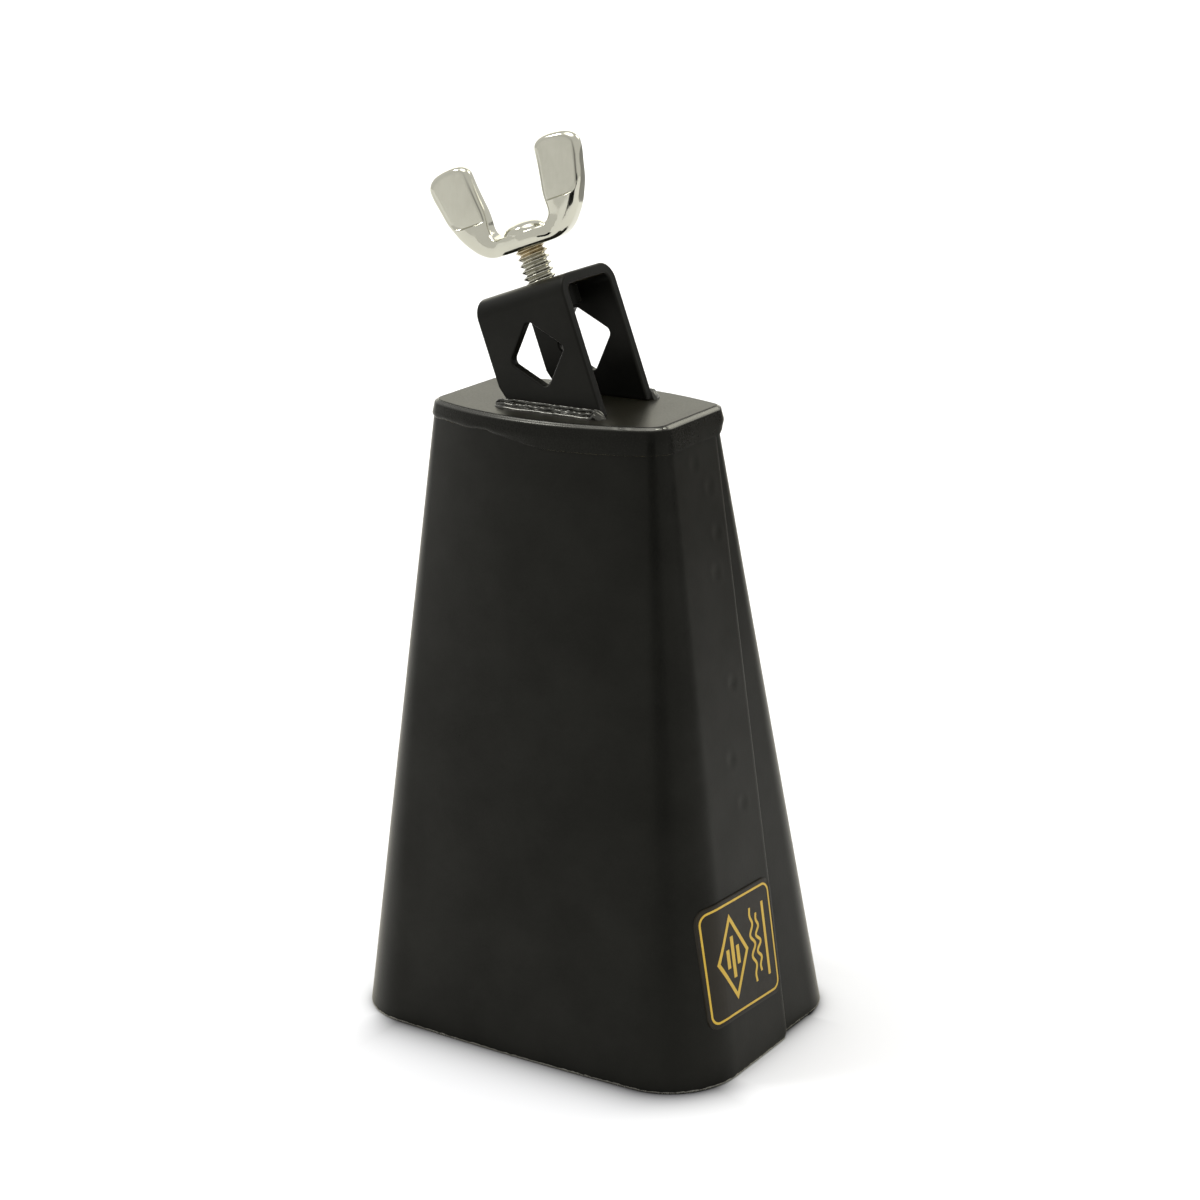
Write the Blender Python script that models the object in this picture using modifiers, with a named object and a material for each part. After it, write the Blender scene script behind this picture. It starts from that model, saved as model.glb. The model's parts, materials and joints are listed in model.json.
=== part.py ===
"""Cowbell on a clamp bracket with a wing screw.

Two pressed sheets lap at the sides and are closed at the top by a welded crown plate. A U-shaped
bracket, welded to the crown at a slant, takes the rod of a stand through its diamond holes, and the
wing screw presses the rod into the lower corner of both holes.

Metres, +Z up. +X is along the bell's width and -Y is its front. The origin is at the centre of the
mouth, in the plane of its edge.
"""

import math

import bmesh
import bpy
from mathutils import Matrix, Vector

MM = 0.001
GAP = 0.3 * MM  # left between pieces that touch

# Bell body. A section is half its width, half its depth at the middle of the bulged long side,
# the radius of its corners, and the height of that bulge.
BELL_HEIGHT = 127.0 * MM
MOUTH_SECTION = (43.4 * MM, 30.1 * MM, 15.0 * MM, 0.6 * MM)
CROWN_SECTION = (27.3 * MM, 16.5 * MM, 4.8 * MM, 4.0 * MM)
REAR_SHARPER = (3.0 * MM, 1.8 * MM)  # by how much the rear half's corners are sharper, mouth and crown
REAR_DEEPER_AT_CROWN = 0.5 * MM
SHEET = 1.2 * MM
SEAM_AT_MOUTH = 5.2 * MM  # how far behind the middle the front sheet's edge lies
SEAM_AT_CROWN = 7.7 * MM
LAP = 9.0 * MM
CORNER_STEPS = 9
LONG_SIDE_STEPS = 16

# Crown plate and the weld bead round its rim
CROWN_THICKNESS = 2.3 * MM
CROWN_INSET = 0.9 * MM
CROWN_ROUNDING = 0.5 * MM
RIM_BEAD_HEIGHT = 1.7 * MM
RIM_BEAD_OVERHANG = 0.45 * MM
RIM_BEAD_SHOULDER = 0.6 * MM  # from its top and bottom to where it is widest

# Clamp bracket, in its own leaning frame: u across the ears, v from front to back, w up the lean
BRACKET_LEAN = math.radians(19.0)
BRACKET_FOOT_X = 1.2 * MM
STRIP = 2.1 * MM
EAR_WIDTH = 21.6 * MM
BRACKET_GAUGE = 17.9 * MM  # over both ears
BRACKET_HEIGHT = 24.4 * MM
BEND_RADIUS = 3.8 * MM
FOOT_CORNER_CUT = 1.5 * MM  # how far in from the ear's edge, at the foot
FOOT_CORNER_SLANT = math.radians(38.0)
BRACKET_EDGE = 0.25 * MM
ROD_HOLE_SIDE = 9.65 * MM
ROD_HOLE_ROUNDING = 1.3 * MM
ROD_HOLE_U = 0.5 * MM
ROD_HOLE_W = 11.3 * MM
FILLET_LEG = 2.1 * MM
FILLET_END_SIZE = 0.45  # of the full leg
FILLET_PAST_EARS = (1.8 * MM, 0.6 * MM)  # towards -X and +X
FILLET_STEPS = 14

# Wing screw, 1/4-20. Its axis leans a little more than the bracket.
SCREW_LEAN = math.radians(19.5)
STUD_DIAMETER = 6.2 * MM
STUD_CHAMFER = 0.8 * MM
STUD_BELOW_HEAD = 14.3 * MM
STUD_IN_HEAD = 2.6 * MM
HEAD_LIFT = 6.7 * MM  # from the bracket's top to the underside of the wing head
NUT_ACROSS_FLATS = 11.1 * MM
NUT_HEIGHT = 4.0 * MM
WING_TURN = math.radians(10.0)  # how far the wings are turned from the bell's width
WING_EDGE = 0.8 * MM
WING_EDGE_MOST = 0.3  # of the section's width
BOSS_RADIUS = 4.3 * MM
BOSS_TOP = 5.2 * MM
BOSS_BASE = 3.0 * MM
BOSS_FOOT = 1.2 * MM

# Label on the narrow side
LABEL_WIDTH = 25.0 * MM
LABEL_HEIGHT = 24.4 * MM
LABEL_THICKNESS = 0.3 * MM
LABEL_CORNER = 2.6 * MM
LABEL_FOOT = 10.3 * MM
LABEL_FROM_SEAM = 0.6 * MM
LABEL_STEPS = 26

ROUND_STEPS = 32
DOME_STEPS = 6
SMOOTH_ANGLE = math.radians(35)
CUTTER_SIZE = 60 * MM  # larger than any piece that is cut

BLACK_PAINT = ("black_paint", (0.018, 0.018, 0.015, 1), 0.38, 0.0)
WELD_PAINT = ("weld_paint", (0.022, 0.022, 0.018, 1), 0.3, 0.0)
ZINC_STEEL = ("zinc_steel", (0.62, 0.58, 0.5, 1), 0.32, 1.0)
CHROME = ("chrome", (0.78, 0.78, 0.76, 1), 0.06, 1.0)
LABEL_FILM = ("label_film", (0.05, 0.042, 0.034, 1), 0.35, 0.0)


def clear_scene():
    for obj in list(bpy.data.objects):
        bpy.data.objects.remove(obj, do_unlink=True)


def new_collection(name):
    collection = bpy.data.collections.new(name)
    bpy.context.scene.collection.children.link(collection)
    return collection


def material(name, colour, roughness, metallic):
    mat = bpy.data.materials.get(name)
    if mat is None:
        mat = bpy.data.materials.new(name)
        mat.use_nodes = True
        shader = mat.node_tree.nodes["Principled BSDF"]
        shader.inputs["Base Color"].default_value = colour
        shader.inputs["Roughness"].default_value = roughness
        shader.inputs["Metallic"].default_value = metallic
    return mat


def finish_mesh(bm):
    bmesh.ops.recalc_face_normals(bm, faces=bm.faces)


def add_object(name, bm, collection, finish=None):
    """Turns bm into an object of this collection. Without a finish it is a cutter."""
    mesh = bpy.data.meshes.new(name)
    bm.to_mesh(mesh)
    bm.free()
    mesh.shade_smooth()
    mesh.set_sharp_from_angle(angle=SMOOTH_ANGLE)
    obj = bpy.data.objects.new(name, mesh)
    collection.objects.link(obj)
    if finish:
        mesh.materials.append(material(*finish))
    else:
        obj.hide_render = True
        obj.display_type = "WIRE"
    return obj


def bevel(obj, width, segments=2, angle=30):
    mod = obj.modifiers.new("rounded edges", "BEVEL")
    mod.width = width
    mod.segments = segments
    mod.limit_method = "ANGLE"
    mod.angle_limit = math.radians(angle)
    return mod


def boolean(obj, other, operation="DIFFERENCE"):
    mod = obj.modifiers.new(other.name, "BOOLEAN")
    mod.operation = operation
    mod.object = other
    return mod


def block_cutter(name, cutters):
    bm = bmesh.new()
    bmesh.ops.create_cube(bm, size=CUTTER_SIZE)
    return add_object(name, bm, cutters)


def rod_cutter(name, radius, depth, placing, cutters):
    bm = bmesh.new()
    bmesh.ops.create_cone(
        bm, cap_ends=True, segments=ROUND_STEPS, radius1=radius, radius2=radius, depth=depth
    )
    cutter = add_object(name, bm, cutters)
    cutter.matrix_world = placing
    return cutter


def loft(sections, closed=False):
    """A closed skin through sections that have the same number of points, capped at open ends."""
    bm = bmesh.new()
    rings = [[bm.verts.new(point) for point in section] for section in sections]
    pairs = list(zip(rings, rings[1:]))
    if closed:
        pairs.append((rings[-1], rings[0]))
    for ring, following in pairs:
        for i in range(len(ring)):
            j = (i + 1) % len(ring)
            bm.faces.new((ring[i], ring[j], following[j], following[i]))
    if not closed:
        bm.faces.new(rings[0])
        bm.faces.new(rings[-1])
    finish_mesh(bm)
    return bm


def prism(points, low, high):
    """A flat outline of (x, y) points, extruded along Z between two heights."""
    bm = bmesh.new()
    face = bm.faces.new([bm.verts.new((x, y, low)) for x, y in points])
    made = bmesh.ops.extrude_face_region(bm, geom=[face])
    raised = [item for item in made["geom"] if isinstance(item, bmesh.types.BMVert)]
    bmesh.ops.translate(bm, verts=raised, vec=(0, 0, high - low))
    finish_mesh(bm)
    return bm


def arc(centre, radius, start, end, steps):
    """Points of an arc from one angle to another, in degrees."""
    points = []
    for i in range(steps + 1):
        angle = math.radians(start + (end - start) * i / steps)
        points.append((centre[0] + radius * math.cos(angle), centre[1] + radius * math.sin(angle)))
    return points


# ---- bell body


def section_at(height, inset=0.0):
    """The section's four sizes at this height, all round smaller by inset."""
    t = height / (BELL_HEIGHT - CROWN_THICKNESS)
    mixed = [low + (high - low) * t for low, high in zip(MOUTH_SECTION, CROWN_SECTION)]
    half_width, half_depth, corner, bulge = mixed
    return half_width - inset, half_depth - inset, corner - inset, bulge


def half_outline(section, side_end):
    """Front half of a section: from +X side to -X side. side_end is where both sides stop."""
    half_width, half_depth, corner, bulge = section
    reach = half_width - corner
    front_radius = (reach**2 + bulge**2) / (2 * bulge)
    centre_y = front_radius - half_depth
    corner_y = centre_y - math.sqrt((front_radius - corner) ** 2 - reach**2)
    slope = math.degrees(math.asin(reach / (front_radius - corner)))
    right = arc((reach, corner_y), corner, 0, slope - 90, CORNER_STEPS)
    front = arc((0, centre_y), front_radius, slope - 90, -90 - slope, LONG_SIDE_STEPS)
    left = [(-x, y) for x, y in reversed(right)]
    return [(half_width, side_end)] + right + front[1:-1] + left + [(-half_width, side_end)]


def seam_at(height):
    return SEAM_AT_MOUTH + (SEAM_AT_CROWN - SEAM_AT_MOUTH) * height / BELL_HEIGHT


def rear_section_at(height):
    """The rear half fits inside the front half's side walls, and its corners are sharper."""
    half_width, half_depth, corner, bulge = section_at(height)
    t = height / BELL_HEIGHT
    corner -= REAR_SHARPER[0] + (REAR_SHARPER[1] - REAR_SHARPER[0]) * t
    return half_width - SHEET - GAP, half_depth + REAR_DEEPER_AT_CROWN * t, corner, bulge


def sheet(section_of, side_end, flip):
    """A half shell between the mouth and the crown plate, one sheet thick."""
    top = BELL_HEIGHT - CROWN_THICKNESS - GAP
    rings = []
    for height, extra in ((0, 0), (top, 0), (top, SHEET), (0, SHEET)):
        half_width, half_depth, corner, bulge = section_of(height)
        section = (half_width - extra, half_depth - extra, corner - extra, bulge)
        outline = half_outline(section, side_end(height) * flip)
        rings.append([(x, y * flip, height) for x, y in outline])
    return loft(list(zip(*rings)))


def make_front_shell(parts):
    return add_object("front_shell", sheet(section_at, seam_at, 1), parts, BLACK_PAINT)


def make_rear_shell(parts):
    """The rear sheet runs inside the front one for the width of the lap."""
    bm = sheet(rear_section_at, lambda height: seam_at(height) - LAP, -1)
    return add_object("rear_shell", bm, parts, BLACK_PAINT)


def full_outline(section):
    half = half_outline(section, 0)
    return half + [(x, -y) for x, y in reversed(half[1:-1])]


def make_crown_plate(parts):
    outline = full_outline(section_at(BELL_HEIGHT - CROWN_THICKNESS, CROWN_INSET))
    bm = prism(outline, BELL_HEIGHT - CROWN_THICKNESS, BELL_HEIGHT)
    obj = add_object("crown_plate", bm, parts, BLACK_PAINT)
    bevel(obj, CROWN_ROUNDING, angle=60)
    return obj


def make_crown_weld(parts):
    """A bead that sits on both sheets' top edges and wraps the crown plate's rim."""
    low = BELL_HEIGHT - CROWN_THICKNESS
    high = low + RIM_BEAD_HEIGHT
    inner = CROWN_INSET - GAP
    outer = -RIM_BEAD_OVERHANG
    profile = (
        (inner, low),
        (outer / 2, low),
        (outer, low + RIM_BEAD_SHOULDER),
        (outer, high - RIM_BEAD_SHOULDER),
        (outer / 2, high),
        (inner, high),
    )
    rings = []
    for inset, height in profile:
        outline = full_outline(section_at(low, inset))
        rings.append([(x, y, height) for x, y in outline])
    return add_object("crown_weld", loft(list(zip(*rings)), closed=True), parts, WELD_PAINT)


def make_side_label(parts):
    """A thin film on the narrow side, in front of the seam. It bends round the corner."""
    side_slant = math.atan2(MOUTH_SECTION[0] - CROWN_SECTION[0], BELL_HEIGHT)

    def outline_at(height, lift):
        return half_outline(section_at(height, -lift), seam_at(height) - LABEL_FROM_SEAM)

    def along(points, distance):
        for start, end in zip(points, points[1:]):
            step = math.dist(start, end)
            if distance <= step:
                return Vector(start).lerp(Vector(end), distance / step)
            distance -= step
        return Vector(points[-1])

    sections = []
    for i in range(LABEL_STEPS + 1):
        distance = LABEL_WIDTH * i / LABEL_STEPS
        from_corner = max(0.0, LABEL_CORNER - min(distance, LABEL_WIDTH - distance))
        cut = LABEL_CORNER - math.sqrt(LABEL_CORNER**2 - from_corner**2)
        low = LABEL_FOOT + cut * math.cos(side_slant)
        high = LABEL_FOOT + (LABEL_HEIGHT - cut) * math.cos(side_slant)
        outside = GAP + LABEL_THICKNESS
        section = []
        for height, lift in ((low, GAP), (high, GAP), (high, outside), (low, outside)):
            point = along(outline_at(height, lift), distance)
            section.append((point.x, point.y, height))
        sections.append(section)
    return add_object("side_label", loft(sections), parts, LABEL_FILM)


# ---- clamp bracket


def leaning_frame(lean, origin):
    """Matrix of a frame that leans towards -X: its columns are across, front to back, and up."""
    matrix = Matrix.Rotation(-lean, 4, "Y")
    matrix.translation = origin
    return matrix


BRACKET_FRAME = leaning_frame(BRACKET_LEAN, Vector((BRACKET_FOOT_X, 0, BELL_HEIGHT)))
BRACKET_TOP = BRACKET_FRAME @ Vector((0, 0, BRACKET_HEIGHT))
HEAD_FRAME = leaning_frame(SCREW_LEAN, BRACKET_TOP)
HEAD_FRAME.translation = HEAD_FRAME @ Vector((0, 0, HEAD_LIFT))


def swap_to_depth(bm):
    """Turns a prism drawn in (x, y) and raised along Z so that it is drawn in (y, z) along X."""
    turn = Matrix(((0, 0, 1, 0), (1, 0, 0, 0), (0, 1, 0, 0), (0, 0, 0, 1)))
    bmesh.ops.transform(bm, matrix=turn, verts=bm.verts)


def strap_outline():
    """The bent strip seen along its width: outer line up, over and down, then the inner line."""
    below = -BRACKET_HEIGHT / 2
    half = BRACKET_GAUGE / 2
    points = []
    for inset, direction in ((0, 1), (STRIP, -1)):
        radius = BEND_RADIUS - inset
        centre_w = BRACKET_HEIGHT - BEND_RADIUS
        centre_v = half - BEND_RADIUS
        line = [(-half + inset, below)]
        line += arc((-centre_v, centre_w), radius, 180, 90, 6)
        line += arc((centre_v, centre_w), radius, 90, 0, 6)
        line += [(half - inset, below)]
        points += line[::direction]
    return points


def rounded_square(side, rounding, centre):
    """A square standing on its corner, with rounded corners."""
    reach = (side / 2 - rounding) * math.sqrt(2)
    points = []
    for quarter in range(4):
        middle = 90 * quarter
        direction = math.radians(middle)
        corner = (centre[0] + reach * math.cos(direction), centre[1] + reach * math.sin(direction))
        points += arc(corner, rounding, middle - 45, middle + 45, 5)
    return points


def make_clamp_bracket(parts, cutters):
    bm = prism(strap_outline(), -EAR_WIDTH / 2, EAR_WIDTH / 2)
    swap_to_depth(bm)
    obj = add_object("clamp_bracket", bm, parts, BLACK_PAINT)
    obj.matrix_world = BRACKET_FRAME

    foot = block_cutter("foot_cutter", cutters)
    foot.location = (0, 0, BELL_HEIGHT + GAP - CUTTER_SIZE / 2)
    boolean(obj, foot)

    # The foot's outer corner is cut off at a slant on both ears.
    corner = block_cutter("foot_corner_cutter", cutters)
    foot_left = BRACKET_FOOT_X - EAR_WIDTH / 2 / math.cos(BRACKET_LEAN)
    outward = Vector((-math.cos(FOOT_CORNER_SLANT), 0, -math.sin(FOOT_CORNER_SLANT)))
    corner.rotation_euler = (0, -FOOT_CORNER_SLANT, 0)
    corner.location = Vector((foot_left + FOOT_CORNER_CUT, 0, BELL_HEIGHT)) + outward * CUTTER_SIZE / 2
    boolean(obj, corner)

    outline = rounded_square(ROD_HOLE_SIDE, ROD_HOLE_ROUNDING, (ROD_HOLE_U, ROD_HOLE_W))
    hole = prism(outline, -CUTTER_SIZE / 2, CUTTER_SIZE / 2)
    hole_cutter = add_object("rod_hole_cutter", hole, cutters)
    hole_cutter.matrix_world = BRACKET_FRAME @ Matrix.Rotation(math.pi / 2, 4, "X")
    boolean(obj, hole_cutter)

    boolean(obj, stud_bore("bracket_bore_cutter", cutters))
    bevel(obj, BRACKET_EDGE, segments=1, angle=50)
    return obj


def stud_bore(name, cutters):
    """Cutter along the screw's axis that leaves a running gap round the stud."""
    placing = HEAD_FRAME @ Matrix.Translation((0, 0, -HEAD_LIFT))
    return rod_cutter(name, STUD_DIAMETER / 2 + GAP, CUTTER_SIZE / 2, placing, cutters)


def make_weld_nut(parts, cutters):
    """Hexagon nut under the bracket's top wall, on the screw's axis."""
    bm = bmesh.new()
    bmesh.ops.create_cone(
        bm,
        cap_ends=True,
        segments=6,
        radius1=NUT_ACROSS_FLATS / math.sqrt(3),
        radius2=NUT_ACROSS_FLATS / math.sqrt(3),
        depth=NUT_HEIGHT,
    )
    obj = add_object("weld_nut", bm, parts, BLACK_PAINT)
    below_wall = STRIP + GAP + NUT_HEIGHT / 2
    place = Matrix.Translation((0, 0, BRACKET_HEIGHT - below_wall))
    flats_to_ears = Matrix.Rotation(math.pi / 6, 4, "Z")
    obj.matrix_world = BRACKET_FRAME @ place @ flats_to_ears
    boolean(obj, stud_bore("nut_bore_cutter", cutters))
    return obj


def make_bracket_weld(name, side, parts):
    """Fillet along an ear's foot. side is -1 at the front and 1 at the back."""
    face = BRACKET_GAUGE / 2 + GAP
    floor = BELL_HEIGHT + GAP
    # Outwards from the ear and up it, as parts of the fillet's leg
    profile = ((0, 0), (1, 0), (0.86, 0.34), (0.5, 0.72), (0.12, 1), (0, 1))
    half = EAR_WIDTH / 2 / math.cos(BRACKET_LEAN)
    left = BRACKET_FOOT_X - half - FILLET_PAST_EARS[0]
    right = BRACKET_FOOT_X + half + FILLET_PAST_EARS[1]
    sections = []
    for i in range(FILLET_STEPS + 1):
        t = i / FILLET_STEPS
        swell = FILLET_END_SIZE + (1 - FILLET_END_SIZE) * min(1.0, 4 * math.sin(math.pi * t))
        leg = FILLET_LEG * swell
        x = left + (right - left) * t
        sections.append([(x, side * (face + out * leg), floor + up * leg) for out, up in profile])
    return add_object(name, loft(sections), parts, WELD_PAINT)


# ---- wing screw


def turned(name, profile, parts, finish):
    """A solid of revolution about Z. The profile runs from top to bottom at +X."""
    bm = bmesh.new()
    verts = [bm.verts.new((radius, 0, height)) for radius, height in profile]
    for upper, lower in zip(verts, verts[1:]):
        bm.edges.new((upper, lower))
    obj = add_object(name, bm, parts, finish)
    screw = obj.modifiers.new("turned", "SCREW")
    screw.axis = "Z"
    screw.angle = 2 * math.pi
    screw.steps = ROUND_STEPS
    screw.render_steps = ROUND_STEPS
    screw.use_merge_vertices = True
    screw.merge_threshold = 0.00001
    return obj


def make_threaded_stud(parts):
    """Stud at its major diameter, with its upper end cast into the head."""
    radius = STUD_DIAMETER / 2
    top = STUD_IN_HEAD - GAP
    tip = -STUD_BELOW_HEAD
    profile = (
        (0, top),
        (radius - STUD_CHAMFER / 2, top),
        (radius, top - STUD_CHAMFER / 2),
        (radius, tip + STUD_CHAMFER),
        (radius - STUD_CHAMFER, tip),
        (0, tip),
    )
    obj = turned("threaded_stud", profile, parts, ZINC_STEEL)
    obj.matrix_world = HEAD_FRAME
    return obj


def wing_stations():
    """Right half of the head in mm, from its middle to a tip: outer point, inner point, thickness."""
    outer = [(0, 0), (4, 0), (7.6, 0), (9.4, 0.6), (11.2, 2), (12.8, 4.2), (14.1, 6.6), (14.4, 7.3)]
    outer += [(15.3, 9.2), (16.2, 12.2), (16.9, 15.2), (16.8, 16.8), (15.9, 18.2), (14.1, 19.1)]
    inner = [(0, 3.3), (3.2, 3.3), (5.3, 3.5), (6.2, 4.1), (6.6, 5), (6.7, 6), (6.6, 7), (6.5, 7.6)]
    inner += [(6.5, 9.4), (6.9, 11.8), (7.2, 14.6), (7.6, 16.8), (8.7, 18.4), (10.7, 19.2)]
    thickness = [8.8, 8, 6.8, 6, 5.4, 5, 4.8, 3.7, 3.5, 3.5, 3.4, 3.2, 3, 2.6]
    return list(zip(outer, inner, thickness))


def wing_section(outer, inner, thickness):
    """Cross-section between two points of the outline, with its corners cut."""
    start, end = Vector(outer) * MM, Vector(inner) * MM
    half = thickness * MM / 2
    cut = min(WING_EDGE / (end - start).length, WING_EDGE_MOST)
    points = []
    for side in (1, -1):
        for along, depth in ((0, half - WING_EDGE), (cut, half), (1 - cut, half), (1, half - WING_EDGE)):
            point = start.lerp(end, along if side > 0 else 1 - along)
            points.append((point.x, -side * depth, point.y))
    return points


def make_wing_head(parts, cutters):
    placing = HEAD_FRAME @ Matrix.Rotation(WING_TURN, 4, "Z")
    right = [wing_section(*station) for station in wing_stations()]
    left = [[(-x, y, z) for x, y, z in section] for section in reversed(right[1:])]
    obj = add_object("wing_head", loft(left + right), parts, CHROME)
    obj.matrix_world = placing

    dome = []
    for step in range(DOME_STEPS + 1):
        angle = math.pi / 2 * (1 - step / DOME_STEPS)
        rise = (BOSS_TOP - BOSS_BASE) * math.sin(angle)
        dome.append((BOSS_RADIUS * math.cos(angle), BOSS_BASE + rise))
    boss = turned("wing_boss", dome + [(BOSS_RADIUS, BOSS_FOOT), (0, BOSS_FOOT)], cutters, None)
    boss.matrix_world = placing
    boolean(obj, boss, "UNION")

    socket_radius = STUD_DIAMETER / 2 + GAP
    boolean(obj, rod_cutter("head_socket_cutter", socket_radius, 2 * STUD_IN_HEAD, placing, cutters))
    return obj


def main():
    clear_scene()
    parts = new_collection("cowbell")
    cutters = new_collection("cutters")
    make_front_shell(parts)
    make_rear_shell(parts)
    make_crown_plate(parts)
    make_crown_weld(parts)
    make_clamp_bracket(parts, cutters)
    make_bracket_weld("bracket_weld_front", -1, parts)
    make_bracket_weld("bracket_weld_rear", 1, parts)
    make_weld_nut(parts, cutters)
    make_threaded_stud(parts)
    make_wing_head(parts, cutters)
    make_side_label(parts)


main()
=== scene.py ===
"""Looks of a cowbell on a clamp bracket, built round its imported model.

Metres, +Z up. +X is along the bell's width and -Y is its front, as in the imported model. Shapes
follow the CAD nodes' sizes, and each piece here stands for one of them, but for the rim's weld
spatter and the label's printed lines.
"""

import json
import math

import bmesh
import bpy
from mathutils import Matrix, Vector, noise


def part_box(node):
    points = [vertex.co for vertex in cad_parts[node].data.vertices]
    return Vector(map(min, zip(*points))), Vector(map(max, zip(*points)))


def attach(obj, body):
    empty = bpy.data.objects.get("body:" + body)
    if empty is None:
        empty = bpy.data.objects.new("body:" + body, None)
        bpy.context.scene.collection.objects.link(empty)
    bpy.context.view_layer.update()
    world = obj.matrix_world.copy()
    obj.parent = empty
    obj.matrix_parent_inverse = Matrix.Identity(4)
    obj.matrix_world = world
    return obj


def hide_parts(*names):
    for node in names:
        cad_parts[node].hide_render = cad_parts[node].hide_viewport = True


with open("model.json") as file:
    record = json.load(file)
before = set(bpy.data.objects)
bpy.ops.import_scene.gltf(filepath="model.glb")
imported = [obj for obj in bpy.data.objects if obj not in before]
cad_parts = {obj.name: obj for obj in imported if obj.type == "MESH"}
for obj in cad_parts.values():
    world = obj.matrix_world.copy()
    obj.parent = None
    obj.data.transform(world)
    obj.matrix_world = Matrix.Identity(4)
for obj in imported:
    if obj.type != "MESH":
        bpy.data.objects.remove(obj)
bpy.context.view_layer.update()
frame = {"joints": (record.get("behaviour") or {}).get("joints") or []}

MM = 0.001
SCENE = bpy.context.scene

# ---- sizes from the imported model
FRONT_LOW, FRONT_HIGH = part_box("front_shell")
CROWN_LOW, CROWN_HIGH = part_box("crown_plate")
BELL_HEIGHT = CROWN_HIGH.z
CROWN_INSET = 0.9 * MM
SCREW = next(joint for joint in frame["joints"] if joint["name"] == "screw_turn")
SCREW_AXIS = Vector(SCREW["axis"]).normalized()
HEAD_ORIGIN = Vector(SCREW["pos_m"])

# ---- bell body. A section is half its width, half its depth, the radius of its corners, and
# the height of the long side's bulge.
MOUTH_SECTION = (FRONT_HIGH.x, -FRONT_LOW.y, 15.0 * MM, 0.6 * MM)
CROWN_SECTION = (CROWN_HIGH.x + CROWN_INSET, CROWN_HIGH.y + CROWN_INSET, 4.8 * MM, 4.0 * MM)
REAR_SHARPER = (3.0 * MM, 1.8 * MM)
REAR_DEEPER_AT_CROWN = 0.5 * MM
SHEET = 1.2 * MM
SEAM_AT_MOUTH = 5.2 * MM
SEAM_AT_CROWN = 7.7 * MM
LAP = 9.0 * MM
LAP_GAP = 0.3 * MM
SEAM_ROUNDING = 0.4 * MM
MOUTH_ROUNDING = 0.42 * MM
SEAM_CORNER_CUT = 1.3 * MM
SHELL_TOP = CROWN_LOW.z - 0.3 * MM
SIDE_STEPS = 26
CORNER_STEPS = 20
LONG_STEPS = 60
HEIGHT_STEPS = 150
WAVE_DEPTH = 0.05 * MM
WAVE_LENGTH = 26 * MM
SPOT_RADIUS = 1.25 * MM
SPOT_DEPTH = 0.075 * MM
# Spot welds on the +X lap: how far behind the middle, and height, in mm
SPOTS = ((-1.4, 118.4), (2.8, 113.0), (3.3, 104.0), (1.2, 96.7), (1.9, 74.7), (-1.9, 60.4), (0.0, 51.0))
# Lumps of weld metal on the rim's corner: angle from the front, depth below the top, half length
SPATTER = ((52, 0.45 * MM, 0.8 * MM), (71, 0.42 * MM, 0.42 * MM), (86, 0.55 * MM, 0.48 * MM))
SPATTER_INSET = 0.62 * MM
PLATE_ROUNDING = 0.4 * MM
# Where the mouth's edge turns from bare steel to paint, and the rim's crest from paint to rubbed
GROUND_EDGE = (0.42 * MM, 0.52 * MM)
RUBBED_CREST = (BELL_HEIGHT - 0.75 * MM, BELL_HEIGHT - 0.4 * MM)
SPATTER_HALF_WIDTH = 0.42 * MM
SPATTER_HALF_HEIGHT = 0.26 * MM

# ---- clamp bracket and its welds
BRACKET_LEAN = math.radians(19.0)
BRACKET_FOOT_X = 1.2 * MM
STRIP = 2.1 * MM
EAR_WIDTH = 21.6 * MM
BRACKET_GAUGE = 17.9 * MM
BRACKET_HEIGHT = 24.4 * MM
BEND_RADIUS = 3.8 * MM
FOOT_CORNER_CUT = 1.5 * MM
FOOT_CORNER_SLANT = math.radians(38.0)
ROD_HOLE_SIDE = 9.65 * MM
ROD_HOLE_ROUNDING = 1.3 * MM
ROD_HOLE_U = 0.5 * MM
ROD_HOLE_W = 11.3 * MM
BRACKET_EDGE = 0.38 * MM
CUTTER_SIZE = 60 * MM
BRACKET_WELD_ENDS = (-12.2 * MM, 13.4 * MM)
BRACKET_WELD_BLOB_X = 12.2 * MM
NUT_ACROSS_FLATS = 11.1 * MM
NUT_HEIGHT = 4.0 * MM
NUT_CHAMFER = 0.5 * MM

# ---- wing screw
STUD_RADIUS = 3.08 * MM
THREAD_PITCH = 1.27 * MM
THREAD_DEPTH = 0.72 * MM
STUD_IN_HEAD = 1.2 * MM
STUD_BELOW_HEAD = 14.3 * MM
STUD_BORE_CLEARANCE = 0.2 * MM
STUD_BRASSY = (-2.4 * MM, -0.8 * MM)  # from plain steel to brassy, below the head
HEAD_LIFT = 6.7 * MM
WING_TURN = math.radians(10.0)
BOSS_RADIUS = 4.3 * MM
BOSS_TOP = 5.2 * MM
BOSS_BASE = 2.9 * MM
# In mm, in the head's own plane: outer and inner corner of a wing, the step below its flat, half
# the thickness at the flat's foot and top, and the groove round the flat
WING_CORNERS = ((16.9, 16.0), (7.4, 16.8))
WING_TIP_RISE = 2.7
WING_STEP = 7.3
WING_FLAT = (1.8, 1.4)
WING_GROOVE = 0.09
WING_GROOVE_WIDTH = 0.09
# Painted shade in the groove round each wing's flat, which darkens the chrome's colour
GROOVE_SHADE_OUTER = {-1: 0.25, 1: 1.0}  # how dark the painted shade is on each wing's outer half, and on its inner half
GROOVE_SHADE_INNER = 0.8

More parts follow.
